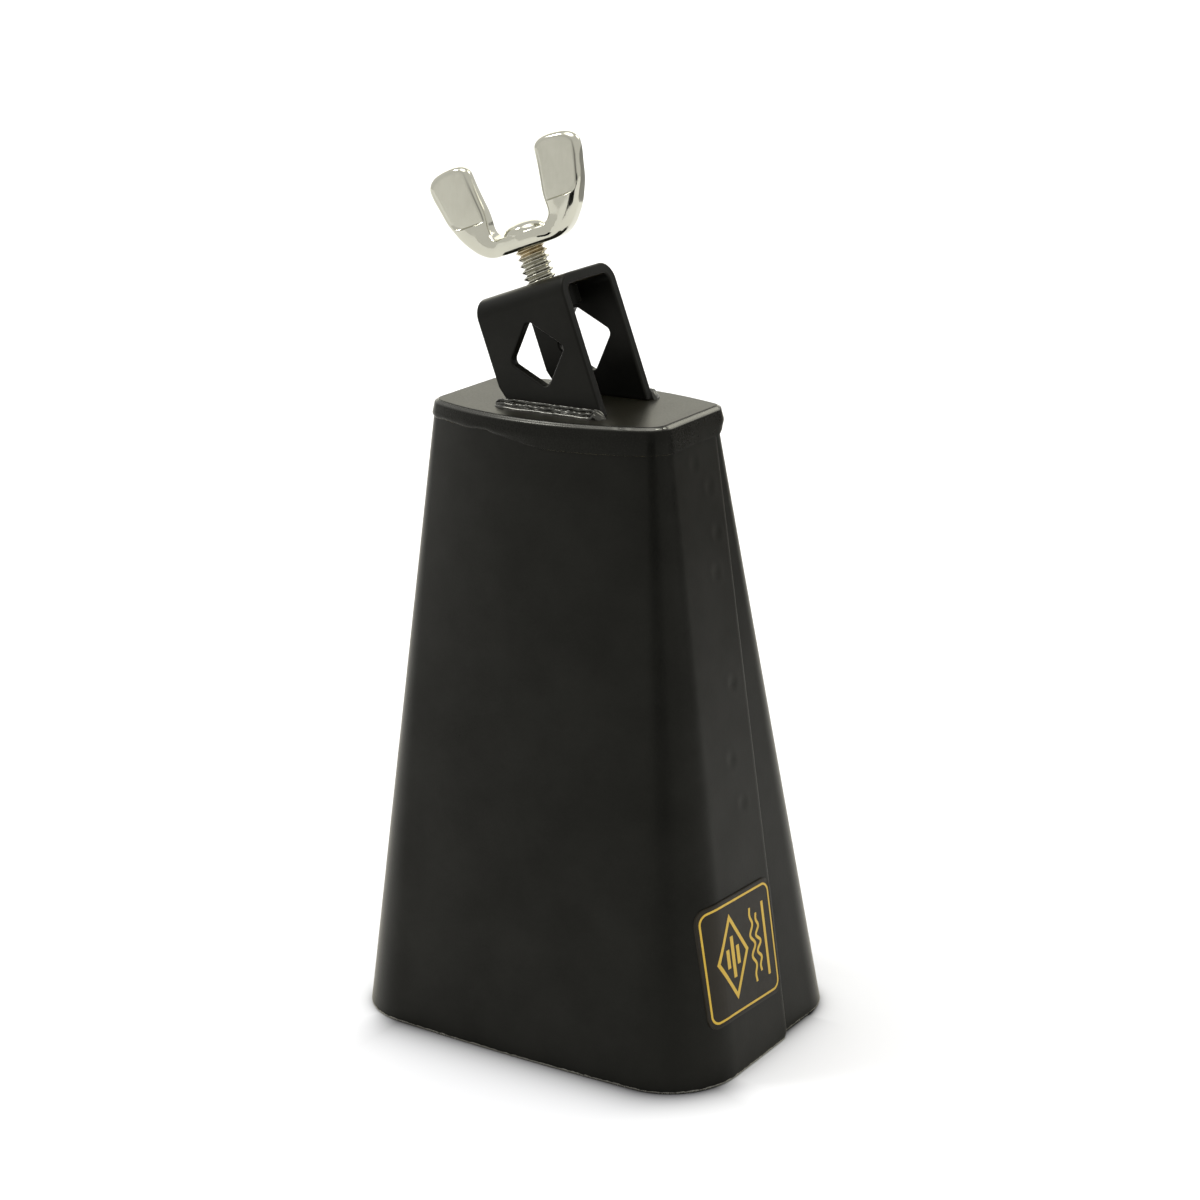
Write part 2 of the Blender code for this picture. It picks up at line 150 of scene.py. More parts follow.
# ---- label
LABEL_WIDTH = 25.0 * MM
LABEL_HEIGHT = 24.1 * MM
LABEL_CORNER = 2.6 * MM
LABEL_FOOT = 10.5 * MM
LABEL_FROM_SEAM = 0.6 * MM
LABEL_GAP = 0.12 * MM
LABEL_THICKNESS = 0.22 * MM
LABEL_FACE = LABEL_GAP + LABEL_THICKNESS * 0.7
LABEL_EDGE_RAISED = 0.07 * MM
LABEL_TILT = 0.05
LABEL_STRAIGHT = 17.0 * MM  # from here towards the front, the film sags by the drop times distance squared
LABEL_DROP = 0.012 / MM
INK_HALF = 0.02 * MM
# Printed lines: the border's inset, corner and width, then the device
BORDER = (1.05 * MM, 1.9 * MM, 0.45 * MM)
LOZENGE_CENTRE = (15.6 * MM, 12.2 * MM)
LOZENGE_REACH = (5.0 * MM, 8.0 * MM)
LOZENGE_LINE = 0.8 * MM
BAR_HALF_LENGTHS = (1.9 * MM, 4.2 * MM, 1.9 * MM)
BAR_SPACING = 1.75 * MM
BAR_WIDTH = 1.05 * MM
WAVES = ((8.3, 4.6, 19.8), (6.3, 6.2, 18.2))  # place across, foot and top, in mm
WAVE_SWING = 0.75
WAVE_WIDTH = 0.62 * MM
RULE = ((3.7 * MM, 4.6 * MM), (3.7 * MM, 19.8 * MM))
RULE_WIDTH = 0.8 * MM

# ---- camera and light
CAMERA_AZIMUTH = math.radians(34.787)
CAMERA_ELEVATION = math.radians(17.537)
CAMERA_ROLL = math.radians(-1.865)
CAMERA_DISTANCE = 0.53381
CAMERA_LENS = 80.91
CAMERA_AIM = (3.765 * MM, 86.63 * MM)  # to the right of the bell's axis, and up
SENSOR_WIDTH = 36
SUN_AZIMUTH = math.radians(-63)
SUN_ELEVATION = math.radians(53)
BACKDROP_STRENGTH = 1.05
FLOOR_SIZE = 20.0
FLOOR_DROP = 0.02 * MM
# Painted shadow round the foot, in the floor's colour: its reach on the lit side and on the side the back
# light throws it to
SHADOW_AZIMUTH = math.radians(34)
SHADOW_REACH = (1.1 * MM, 5.0 * MM)
SHADOW_STRENGTH = (0.3, 0.8)
SHADOW_TURN = (0.5, 0.82)  # cosine of the angle from that side, from the first of each to the second
# Strength of the studio's light by the sine of its elevation, from the horizon to overhead
SKY = ((0.0, 0.9), (0.25, 0.9), (0.8, 0.88), (0.9, 1.0), (0.955, 3.6), (1.0, 5.2))


# ---- meshes


def new_object(name, bm):
    mesh = bpy.data.meshes.new(name)
    bm.to_mesh(mesh)
    bm.free()
    obj = bpy.data.objects.new(name, mesh)
    SCENE.collection.objects.link(obj)
    return obj


def add_piece(name, bm, finish, body, node, sharp):
    """Turns bm into a piece that rides on a body and stands for a CAD node, if one is named."""
    bmesh.ops.recalc_face_normals(bm, faces=bm.faces)
    obj = new_object(name, bm)
    obj.data.materials.append(finish)
    obj.data.shade_smooth()
    obj.data.set_sharp_from_angle(angle=math.radians(sharp))
    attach(obj, body)
    if node:
        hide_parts(node)
    return obj


def skin(rings, closed_rings=True, closed_ends=False, caps=True):
    """Quads between rings that have the same number of points."""
    bm = bmesh.new()
    made = [[bm.verts.new(point) for point in ring] for ring in rings]
    pairs = list(zip(made, made[1:]))
    if closed_ends:
        pairs.append((made[-1], made[0]))
    for ring, following in pairs:
        count = len(ring)
        for i in range(count if closed_rings else count - 1):
            j = (i + 1) % count
            bm.faces.new((ring[i], ring[j], following[j], following[i]))
    if caps and not closed_ends:
        bm.faces.new(made[0])
        bm.faces.new(made[-1])
    return bm


def arc(centre, radius, start, end, steps):
    """Points of an arc from one angle to another, in degrees."""
    angles = [math.radians(start + (end - start) * i / steps) for i in range(steps + 1)]
    return [(centre[0] + radius * math.cos(a), centre[1] + radius * math.sin(a)) for a in angles]


def mixed(low, high, t):
    return low + (high - low) * t


def smooth_step(low, high, value):
    t = min(1.0, max(0.0, (value - low) / (high - low)))
    return t * t * (3 - 2 * t)


def wobble(x, y, z, size):
    """Smooth noise from -1 to 1 whose bumps are about this size."""
    return noise.noise(Vector((x, y, z)) / size)


# ---- bell body


def section_at(height, inset=0.0):
    t = height / CROWN_LOW.z
    half_width, half_depth, corner, bulge = (
        mixed(low, high, t) for low, high in zip(MOUTH_SECTION, CROWN_SECTION)
    )
    return half_width - inset, half_depth - inset, corner - inset, bulge


def rear_section_at(height, inset=0.0):
    half_width, half_depth, corner, bulge = section_at(height)
    t = height / BELL_HEIGHT
    corner -= mixed(*REAR_SHARPER, t)
    deeper = REAR_DEEPER_AT_CROWN * t
    return half_width - SHEET - LAP_GAP - inset, half_depth + deeper - inset, corner - inset, bulge


def section_arcs(section):
    """How far out the corners' centres are, the long side's radius, and the y of both centres."""
    half_width, half_depth, corner, bulge = section
    reach = half_width - corner
    front_radius = (reach**2 + bulge**2) / (2 * bulge)
    centre_y = front_radius - half_depth
    corner_y = centre_y - math.sqrt((front_radius - corner) ** 2 - reach**2)
    return reach, front_radius, centre_y, corner_y


def half_outline(section, side_end):
    """Front half of a section, from its +X side to its -X side, evenly spaced on each stretch."""
    half_width, _, corner, _ = section
    reach, front_radius, centre_y, corner_y = section_arcs(section)
    slope = math.degrees(math.asin(reach / (front_radius - corner)))
    side = [(half_width, mixed(side_end, corner_y, i / SIDE_STEPS)) for i in range(SIDE_STEPS)]
    right = side + arc((reach, corner_y), corner, 0, slope - 90, CORNER_STEPS)
    front = arc((0, centre_y), front_radius, slope - 90, -90 - slope, LONG_STEPS)
    left = [(-x, y) for x, y in reversed(right)]
    return right + front[1:-1] + left


def seam_at(height):
    return mixed(SEAM_AT_MOUTH, SEAM_AT_CROWN, height / BELL_HEIGHT)


def outward_of(path, i):
    """Outward normal of a half outline at its point i."""
    before, after = Vector(path[max(i - 1, 0)]), Vector(path[min(i + 1, len(path) - 1)])
    along = (after - before).normalized()
    return Vector((-along.y, along.x))


def sheet_dent(x, y, z, spots):
    """How far the sheet is pressed in at this point: shallow waves, and the marks of spot welds."""
    dent = WAVE_DEPTH * (0.5 + 0.5 * wobble(x, y, z, WAVE_LENGTH))
    if spots and x > 0:
        for spot_y, spot_z in SPOTS:
            distance = math.hypot(y - spot_y * MM, z - spot_z * MM) / SPOT_RADIUS
            if distance < 3:
                raised_ring = 0.4 * SPOT_DEPTH * math.exp(-((distance - 1.5) ** 2) * 4)
                dent += SPOT_DEPTH * math.exp(-(distance**2)) - raised_ring
    return dent


def sheet_loop(section_of, height, thinner, side_end, flip, spots):
    """Closed cross-section of a half shell. thinner is taken off both faces near the mouth."""
    rounding = min(SEAM_ROUNDING, SHEET / 2 - thinner - 0.01 * MM)
    side_end -= rounding
    outer = half_outline(section_of(height, thinner), side_end)
    inner = half_outline(section_of(height, SHEET - thinner), side_end)
    dents = [outward_of(outer, i) * -sheet_dent(x, y * flip, height, spots) for i, (x, y) in enumerate(outer)]
    cap = arc((inner[0][0] + rounding, side_end), rounding, 180, 90, 4)[1:]
    cap += arc((outer[0][0] - rounding, side_end), rounding, 90, 0, 4)[:-1]
    outer = [(x + d.x, y + d.y) for (x, y), d in zip(outer, dents)]
    inner = [(x + d.x, y + d.y) for (x, y), d in zip(inner, dents)]
    cap = [(x + dents[0].x, y + dents[0].y) for x, y in cap]
    loop = outer + [(-x, y) for x, y in reversed(cap)] + inner[::-1] + cap
    return [(x, y * flip, height) for x, y in loop]


def shell(section_of, side_end_at, flip, spots):
    """Half of the bell, whose sheet thins to a rounded edge at the mouth."""
    levels = []
    for i in range(6):
        angle = math.radians(90 * i / 6)
        levels.append((MOUTH_ROUNDING * (1 - math.cos(angle)), MOUTH_ROUNDING * (1 - math.sin(angle))))
    levels += [(mixed(MOUTH_ROUNDING, SHELL_TOP, i / HEIGHT_STEPS), 0.0) for i in range(HEIGHT_STEPS + 1)]
    return skin([sheet_loop(section_of, z, thinner, side_end_at(z), flip, spots) for z, thinner in levels])


def make_front_shell(finish):
    bm = shell(section_at, lambda height: seam_at(height) - max(0.0, SEAM_CORNER_CUT - height), 1, True)
    add_piece("front_sheet", bm, finish, "bell", "front_shell", 50)


def make_rear_shell(finish):
    bm = shell(rear_section_at, lambda height: seam_at(height) - LAP, -1, False)
    add_piece("rear_sheet", bm, finish, "bell", "rear_shell", 50)


def crown_outline(inset):
    """Whole outline of the crown, with sharper corners at the rear."""
    section = section_at(CROWN_LOW.z, inset)
    front = half_outline(section, 0.0)
    half_width, half_depth, corner, bulge = section
    rear = half_outline((half_width, half_depth, max(corner - REAR_SHARPER[1], 0.5 * MM), bulge), 0.0)
    return front + [(x, -y) for x, y in reversed(rear[1:-1])]


def make_crown_plate(finish):
    bend = CROWN_INSET + PLATE_ROUNDING
    profile = [(CROWN_INSET, CROWN_LOW.z)]
    profile += arc((bend, BELL_HEIGHT - PLATE_ROUNDING), PLATE_ROUNDING, 180, 90, 4)
    profile += [(bend + 0.15 * MM, BELL_HEIGHT), (bend + 0.8 * MM, BELL_HEIGHT)]
    rings = [[(x, y, height) for x, y in crown_outline(inset)] for inset, height in profile]
    add_piece("crown", skin(rings), finish, "bell", "crown_plate", 50)


def bead_profile(chamfer, toe):
    """Section of the rim's bead: how far inside the bell's outline and below the crown's top, in mm.

    A full toe (1) ends in a step, and a faint one (0) runs out on the sheet.
    """
    crest = (0.78, 0.06)
    foot = (crest[0] - chamfer, crest[1] + 0.85 * chamfer)
    points = [(1.18, 1.0), (1.15, 0.5), (1.06, 0.26), (0.95, 0.15), (0.86, 0.08), crest]
    points += [(mixed(crest[0], foot[0], t), mixed(crest[1], foot[1], t)) for t in (0.1, 0.5, 0.9)]
    points += [foot, (min(foot[0] - 0.08, 0.2), foot[1] + 0.16)]
    top = (min(foot[0] - 0.1, 0.1), foot[1] + 0.32)
    widest = mixed(-0.29, -0.36, toe)
    for t in (0.0, 0.2, 0.4, 0.55, 0.7, 0.85):
        points.append((mixed(top[0], widest, t), mixed(top[1], 2.55, t)))
    full = [(-0.42, 2.62), (-0.45, 2.8), (-0.42, 2.98), (-0.33, 3.14), (-0.2, 3.3), (-0.08, 3.45)]
    full += [(0.0, 3.62), (0.2, 3.75), (0.6, 3.8), (0.9, 3.4)]
    faint = [(-0.31, 2.7), (-0.35, 3.0), (-0.4, 3.4), (-0.45, 3.8), (-0.5, 4.2), (-0.55, 4.6)]
    faint += [(-0.6, 5.0), (-0.63, 5.3), (0.3, 5.7), (0.9, 5.0)]
    points += [(mixed(p[0], q[0], toe), mixed(p[1], q[1], toe)) for p, q in zip(faint, full)]
    return points


def make_crown_weld(finish):
    """Bead round the crown's rim: ground to a slope at its top, smooth below, lumpy along its toe."""
    outline = crown_outline(0.0)
    count = len(outline)
    rings = [[] for _ in bead_profile(0.4, 1)]
    for i in range(count):
        x, y = outline[i]
        along = (Vector(outline[(i + 1) % count]) - Vector(outline[i - 1])).normalized()
        outward = Vector((-along.y, along.x))
        if outward.dot(Vector((x, y))) < 0:
            outward = -outward
        at_side = smooth_step(0.75, 0.97, outward.x)
        at_corner = smooth_step(17 * MM, 20 * MM, x) * smooth_step(11 * MM, 13 * MM, -y)
        # The toe is full at the rear and on the left, and faint from there to the right
        toe_here = 1 - 0.9 * smooth_step(-12 * MM, 8 * MM, x) * (1 - smooth_step(8 * MM, 12 * MM, y))
        shape = bead_profile(0.22 + 0.5 * at_side, toe_here)
        for ring, (inset, drop) in zip(rings, shape):
            crest = math.exp(-(((drop - 0.25) / 0.35) ** 2))
            toe = smooth_step(2.3, 2.9, drop)
            lump = 0.015 * wobble(x, y, drop * MM, 3 * MM)
            lump += crest * (0.02 + 0.3 * at_corner) * wobble(x, y, 0.003, 1.1 * MM)
            lump += toe * toe_here * (0.12 * wobble(x, y, drop * 0.4 * MM, 2.2 * MM) - 0.06)
            lift = (0.05 + 0.26 * toe * toe_here) * wobble(x, y, 0.001, 3.4 * MM)
            lift += 0.25 * crest * at_corner * wobble(x, y, 0.007, 1.3 * MM)
            drop_here = max(0.02, drop + lift * smooth_step(0.1, 1.0, drop + 0.6 * at_corner))
            place = outward * (lump - inset) * MM
            ring.append((x + place.x, y + place.y, BELL_HEIGHT - drop_here * MM))
    bm = skin(rings, closed_ends=True)
    add_piece("crown_rim_bead", bm, finish, "bell", "crown_weld", 60)


def make_rim_spatter(finish):
    """Three lumps of bright weld metal on the rim's +X front corner."""
    reach, _, _, corner_y = section_arcs(CROWN_SECTION)
    radius = CROWN_SECTION[2] - SPATTER_INSET
    bm = bmesh.new()
    for degrees, drop, length in SPATTER:
        angle = math.radians(degrees)
        x, y = reach + radius * math.sin(angle), corner_y - radius * math.cos(angle)
        place = Matrix.Translation((x, y, BELL_HEIGHT - drop))
        size = Matrix.Diagonal((length, SPATTER_HALF_WIDTH, SPATTER_HALF_HEIGHT, 1.0))
        turned = place @ Matrix.Rotation(angle, 4, "Z") @ size
        made = bmesh.ops.create_uvsphere(bm, u_segments=20, v_segments=12, radius=1.0)
        for vert in made["verts"]:
            point = turned @ vert.co
            vert.co = point + (point - place.translation) * 0.25 * wobble(*point, 0.6 * MM)
    add_piece("rim_spatter", bm, finish, "bell", None, 60)


# ---- clamp bracket


def leaning_frame(lean, origin):
    """Matrix of a frame that leans towards -X: its columns are across, front to back, and up."""
    matrix = Matrix.Rotation(-lean, 4, "Y")
    matrix.translation = origin
    return matrix


BRACKET_FRAME = leaning_frame(BRACKET_LEAN, Vector((BRACKET_FOOT_X, 0, BELL_HEIGHT)))
HEAD_FRAME = leaning_frame(math.atan2(-SCREW_AXIS.x, SCREW_AXIS.z), HEAD_ORIGIN)


def prism(points, low, high):
    """A flat outline of (x, y) points, extruded along Z between two heights."""
    bm = bmesh.new()
    face = bm.faces.new([bm.verts.new((x, y, low)) for x, y in points])
    made = bmesh.ops.extrude_face_region(bm, geom=[face])
    raised = [item for item in made["geom"] if isinstance(item, bmesh.types.BMVert)]
    bmesh.ops.translate(bm, verts=raised, vec=(0, 0, high - low))
    bmesh.ops.recalc_face_normals(bm, faces=bm.faces)
    return bm


def cut(obj, cutter, operation="DIFFERENCE"):
    mod = obj.modifiers.new("cut", "BOOLEAN")
    mod.operation = operation
    mod.object = cutter


def baked(obj, *helpers):
    """The evaluated mesh of an object with modifiers, as a bmesh in world space."""
    bpy.context.view_layer.update()
    graph = bpy.context.evaluated_depsgraph_get()
    bm = bmesh.new()
    bm.from_object(obj, graph)
    bmesh.ops.transform(bm, matrix=obj.matrix_world, verts=bm.verts)
    for used in (obj, *helpers):
        bpy.data.objects.remove(used, do_unlink=True)
    return bm


def cube_cutter(name):
    bm = bmesh.new()
    bmesh.ops.create_cube(bm, size=CUTTER_SIZE)
    return new_object(name, bm)


def strap_outline():
    """The bracket's U, seen from the side, with its foot long enough to be cut off slanting."""
    below = -BRACKET_HEIGHT / 2
    half = BRACKET_GAUGE / 2
    points = []
    for inset, order in ((0, 1), (STRIP, -1)):
        radius = BEND_RADIUS - inset
        centre_w = BRACKET_HEIGHT - BEND_RADIUS
        centre_v = half - BEND_RADIUS
        path = [(-half + inset, below)] + arc((-centre_v, centre_w), radius, 180, 90, 14)
        path += arc((centre_v, centre_w), radius, 90, 0, 14) + [(half - inset, below)]
        points += path[::order]
    return points


def rounded_square(side, rounding, centre):
    reach = (side / 2 - rounding) * math.sqrt(2)
    points = []
    for quarter, corner in enumerate(arc(centre, reach, 0, 270, 3)):
        points += arc(corner, rounding, 90 * quarter - 45, 90 * quarter + 45, 12)
    return points


def make_clamp_bracket(finish):
    bm = prism(strap_outline(), -EAR_WIDTH / 2, EAR_WIDTH / 2)
    turn = Matrix(((0, 0, 1, 0), (1, 0, 0, 0), (0, 1, 0, 0), (0, 0, 0, 1)))
    bmesh.ops.transform(bm, matrix=turn, verts=bm.verts)
    strap = new_object("strap", bm)
    strap.matrix_world = BRACKET_FRAME

    foot = cube_cutter("foot_cutter")
    foot.location = (0, 0, BELL_HEIGHT + 0.02 * MM - CUTTER_SIZE / 2)
    corner = cube_cutter("corner_cutter")
    foot_left = BRACKET_FOOT_X - EAR_WIDTH / 2 / math.cos(BRACKET_LEAN)
    outward = Vector((-math.cos(FOOT_CORNER_SLANT), 0, -math.sin(FOOT_CORNER_SLANT)))
    corner.rotation_euler = (0, -FOOT_CORNER_SLANT, 0)
    corner.location = Vector((foot_left + FOOT_CORNER_CUT, 0, BELL_HEIGHT)) + outward * CUTTER_SIZE / 2
    outline = rounded_square(ROD_HOLE_SIDE, ROD_HOLE_ROUNDING, (ROD_HOLE_U, ROD_HOLE_W))
    hole = new_object("hole_cutter", prism(outline, -CUTTER_SIZE / 2, CUTTER_SIZE / 2))
    hole.matrix_world = BRACKET_FRAME @ Matrix.Rotation(math.pi / 2, 4, "X")
    bm = bmesh.new()
    bore = STUD_RADIUS + STUD_BORE_CLEARANCE
    bmesh.ops.create_cone(bm, cap_ends=True, segments=64, radius1=bore, radius2=bore, depth=CUTTER_SIZE / 2)
    bore = new_object("bore_cutter", bm)
    bore.matrix_world = HEAD_FRAME @ Matrix.Translation((0, 0, -HEAD_LIFT))
    for cutter in (foot, corner, hole, bore):
        cut(strap, cutter)
    edge = strap.modifiers.new("edges", "BEVEL")
    edge.width = BRACKET_EDGE
    edge.segments = 4
    edge.limit_method = "ANGLE"
    edge.angle_limit = math.radians(40)
    bm = baked(strap, foot, corner, hole, bore)
    piece = add_piece("bracket", bm, finish, "bell", "clamp_bracket", 35)
    piece.modifiers.new("normals", "WEIGHTED_NORMAL").keep_sharp = True


def make_weld_nut(finish):
    """Hexagon nut with turned corners, under the bracket's top wall."""
    corner_radius = NUT_ACROSS_FLATS / math.sqrt(3)
    bore = STUD_RADIUS + 0.05 * MM
    steps = 96
    low, high = NUT_CHAMFER, NUT_HEIGHT - NUT_CHAMFER
    profile = ((bore + NUT_CHAMFER, 0.0), (corner_radius * 0.9, 0.0), (corner_radius, low))
    profile += ((corner_radius, high), (corner_radius * 0.9, NUT_HEIGHT), (bore + NUT_CHAMFER, NUT_HEIGHT))
    profile += ((bore, high), (bore, low))
    place = BRACKET_FRAME @ Matrix.Translation((0, 0, BRACKET_HEIGHT - (STRIP + 0.1 * MM + NUT_HEIGHT)))
    rings = [[] for _ in profile]
    for i in range(steps):
        angle = 2 * math.pi * i / steps
        flat = NUT_ACROSS_FLATS / 2 / math.cos((angle + math.pi / 6) % (math.pi / 3) - math.pi / 6)
        for ring, (radius, level) in zip(rings, profile):
            reach = min(radius, flat)
            ring.append(place @ Vector((reach * math.cos(angle), reach * math.sin(angle), level)))
    bm = skin(rings, closed_ends=True)
    add_piece("nut", bm, finish, "bell", "weld_nut", 30)


def make_bracket_weld(name, node, side, finish):
    """Fillet along an ear's foot: three wavy ridges side by side, and a blob at its right end."""
    face = BRACKET_GAUGE / 2 - 0.1 * MM
    floor = BELL_HEIGHT - 0.15 * MM
    left, right = BRACKET_WELD_ENDS
    steps, across, ridges = 300, 42, 3
    rings = []
    for i in range(steps + 1):
        x = mixed(left, right, i / steps)
        end = min(1.0, (x - left) / (3.4 * MM), (right - x) / (1.0 * MM))
        size = math.sqrt(max(0.01, end * (2 - end)))
        blob = math.exp(-(((x - BRACKET_WELD_BLOB_X) / (0.9 * MM)) ** 2))
        ring = [(x, side * (face - 0.4 * MM), floor)]
        for j in range(across + 1):
            t = j / across
            wave = t + 0.035 * wobble(x, side, 4, 2.4 * MM) * math.sin(math.pi * t)
            ridge = min(ridges - 1, int(wave * ridges))
            swell = 0.8 + 0.45 * wobble(x, ridge, side, 1.5 * MM) + 0.25 * wobble(x, ridge, 8, 4.5 * MM)
            hump = abs(math.sin(math.pi * ridges * wave)) ** 0.75
            bulge = math.sin(math.pi * t)
            rise = (0.05 + (0.46, 0.42, 0.24)[ridge] * swell * hump) + 0.95 * blob * bulge
            out = (mixed(0.0, 1.95, t) + 0.62 * rise - 0.18 * bulge) * size
            up = (mixed(1.5, 0.0, t) + 0.80 * rise - 0.18 * bulge) * size
            lean = -math.tan(BRACKET_LEAN) * up
            ring.append((x + lean * MM, side * (face + out * MM), floor + (0.15 + up) * MM))
        ring.append((x, side * (face + 2.0 * size * MM), floor))
        rings.append(ring)
    add_piece(name, skin(rings), finish, "bell", node, 60)


# ---- wing screw


def make_stud(finish):
    """Rolled right-hand thread: rows follow the helix, so that crests and roots are sharp."""
    across = 72
    top, tip = STUD_IN_HEAD, -STUD_BELOW_HEAD
    tip_radius, least_radius = STUD_RADIUS - 0.75 * MM, 0.4 * MM
    # Where in a pitch each row lies, and how deep it is
    shape = (
        (0.0, 0.0), (0.07, 0.0), (0.11, 0.05), (0.2, 0.3), (0.32, 0.64), (0.39, 0.87), (0.45, 0.97),
        (0.52, 1.0), (0.6, 0.97), (0.66, 0.87), (0.73, 0.64), (0.85, 0.3), (0.94, 0.05), (0.98, 0.0),
    )
    rows = []
    for turn in range(math.floor(tip / THREAD_PITCH) - 2, math.ceil(top / THREAD_PITCH) + 1):
        for place, depth in shape:
            row = []
            for i in range(across + 1):
                share = i / across
                raw = (turn + place + share) * THREAD_PITCH
                radius = STUD_RADIUS - THREAD_DEPTH * depth
                chamfer = tip_radius + (raw - tip) * 1.2
                radius = min(radius, max(chamfer, STUD_RADIUS - 0.8 * MM))
                past_end = max(0.0, tip - raw, raw - top)
                radius = max(least_radius, radius - past_end * 0.8)
                level = min(top, max(tip, raw))
                angle = 2 * math.pi * share
                row.append(HEAD_FRAME @ Vector((radius * math.cos(angle), radius * math.sin(angle), level)))
            rows.append(row)
    bm = skin(rows, closed_rings=False, caps=False)
    bmesh.ops.remove_doubles(bm, verts=bm.verts, dist=0.001 * MM)
    bmesh.ops.dissolve_degenerate(bm, edges=bm.edges, dist=0.002 * MM)
    loops = [edge for edge in bm.edges if edge.is_boundary]
    bmesh.ops.holes_fill(bm, edges=loops, sides=0)
    add_piece("screw_thread", bm, finish, "stud", "threaded_stud", 40)


def spline(values, places, at):
    """Smooth curve through values at rising places."""
    i = 0
    while i < len(places) - 2 and at > places[i + 1]:
        i += 1
    span = places[i + 1] - places[i]
    t = min(1.0, max(0.0, (at - places[i]) / span))

    def slope(k):
        low, high = max(k - 1, 0), min(k + 1, len(values) - 1)
        return (values[high] - values[low]) / (places[high] - places[low])

    start = values[i] * (2 * t**3 - 3 * t**2 + 1) + slope(i) * span * (t**3 - 2 * t**2 + t)
    return start + values[i + 1] * (3 * t**2 - 2 * t**3) + slope(i + 1) * span * (t**3 - t**2)


def wing_curves():
    """Right half of the head in mm, from its middle to the corners of a tip.

    Each station is an outer point, an inner point and the body's thickness there.
    """
    outer = [(0, 0), (4, 0), (7, 0.15), (8.9, 0.75), (10.6, 1.9), (12.1, 3.5), (13.3, 5.2), (14.4, 7.3)]
    outer += [(15.3, 9.3), (16.0, 12), (16.65, 14.4), (16.9, 16.0)]
    inner = [(0, 3.3), (3.2, 3.3), (5.2, 3.4), (6, 3.9), (6.4, 4.6), (6.6, 5.4), (6.65, 6.3), (6.55, 7.3)]
    inner += [(6.55, 9.3), (6.9, 11.8), (7.2, 14.4), (7.4, 16.8)]
    thickness = [8.8, 7.9, 5.9, 5.5, 5.4, 5.3, 5.2, 5.0, 4.7, 4.5, 4.2, 3.9]
    return outer, inner, thickness


def wing_tip(share):
    """Point on the rounded top edge of a wing, in mm, from its outer corner (0) to its inner one (1)."""
    outer, inner = WING_CORNERS
    rise = WING_TIP_RISE * (1 - abs(2 * share - 1) ** 2.6) ** 0.46
    return Vector((mixed(outer[0], inner[0], share), mixed(outer[1], inner[1], share) + rise))


def wing_rows():
    """Where the rows of the head's mesh lie along its stations, closest at the step and at the tip."""
    rows = []
    for start, end, step in ((0, 6.8, 0.1), (6.8, 7.2, 0.02), (7.2, 9.6, 0.12), (9.6, 11, 0.05)):
        count = round((end - start) / step)
        rows += [start + (end - start) * i / count for i in range(count)]
    return rows + [11]


def distance_to(path, point):
    nearest = math.inf
    for start, end in zip(path, path[1:]):
        along = end - start
        t = min(1.0, max(0.0, (point - start).dot(along) / max(along.dot(along), 1e-12)))
        nearest = min(nearest, (point - start - along * t).length)
    return nearest


def wing_boss():
    """Domed boss in the middle of the head, as an object that is joined to it."""
    steps, levels = 72, 18
    dome = [(BOSS_RADIUS, 1.6 * MM), (BOSS_RADIUS, BOSS_BASE)]
    for i in range(1, levels):
        angle = math.radians(90 * i / levels)
        level = BOSS_BASE + (BOSS_TOP - BOSS_BASE) * math.sin(angle) ** 0.9
        dome.append((BOSS_RADIUS * math.cos(angle) ** 0.8, level))
    turns = [2 * math.pi * i / steps for i in range(steps)]
    bm = skin([[(r * math.cos(a), r * math.sin(a), level) for a in turns] for r, level in dome])
    bmesh.ops.recalc_face_normals(bm, faces=bm.faces)
    return new_object("boss", bm)


def wing_half(shares):
    """Rows of points in mm on the front face of the head's right half.

    Each point is its x, half the thickness there, its height, and how deep it is in the groove.
    """
    outer, inner, thickness = wing_curves()
    places = list(range(len(outer)))
    rows = wing_rows()

    def on_curve(points, place):
        return Vector([spline([p[k] for p in points], places, place) for k in (0, 1)])

    edge = [on_curve(outer, place) for place in rows]
    edge += [wing_tip(share) for share in shares]
    edge += [on_curve(inner, place) for place in reversed(rows)]
    right = []
    for place in rows:
        out, inn = on_curve(outer, place), on_curve(inner, place)
        body = spline(thickness, places, place) / 2
        towards_tip = smooth_step(9.4, 11, place) ** 1.5 if place < 11 else 1.0
        arm = smooth_step(1.5, 5, place)
        reach_out, reach_in = mixed(2.9, 3.2, arm), mixed(0.6, 2.6, arm)
        depth_out, depth_in = mixed(1.25, 1.8, arm), mixed(0.6, 1.6, arm)
        front = []
        for share in shares:
            point = out.lerp(inn, share)
            straight = Vector(WING_CORNERS[0]).lerp(Vector(WING_CORNERS[1]), share)
            point = point + (wing_tip(share) - straight) * towards_tip
            inside = distance_to(edge, point)
            reach, depth = mixed(reach_out, reach_in, share), mixed(depth_out, depth_in, share)
            left = max(0.0, 1 - inside / reach)
            half = body - depth * (1 - math.sqrt(max(0.0, 1 - left**2)))
            step = WING_STEP + 1.6 * smooth_step(11.5, 15, point.x) ** 2
            flat = mixed(*WING_FLAT, (point.y - WING_STEP) / 12)
            groove = WING_GROOVE * math.exp(-(((half - flat - 0.02) / WING_GROOVE_WIDTH) ** 2))
            if half > flat:
                half = mixed(half, flat, smooth_step(step - 0.12, step + 0.28, point.y))
            groove *= smooth_step(step + 0.1, step + 0.5, point.y) * (1 - towards_tip)
            front.append((point.x, half - groove, point.y, groove / WING_GROOVE))
        right.append(front)
    return right


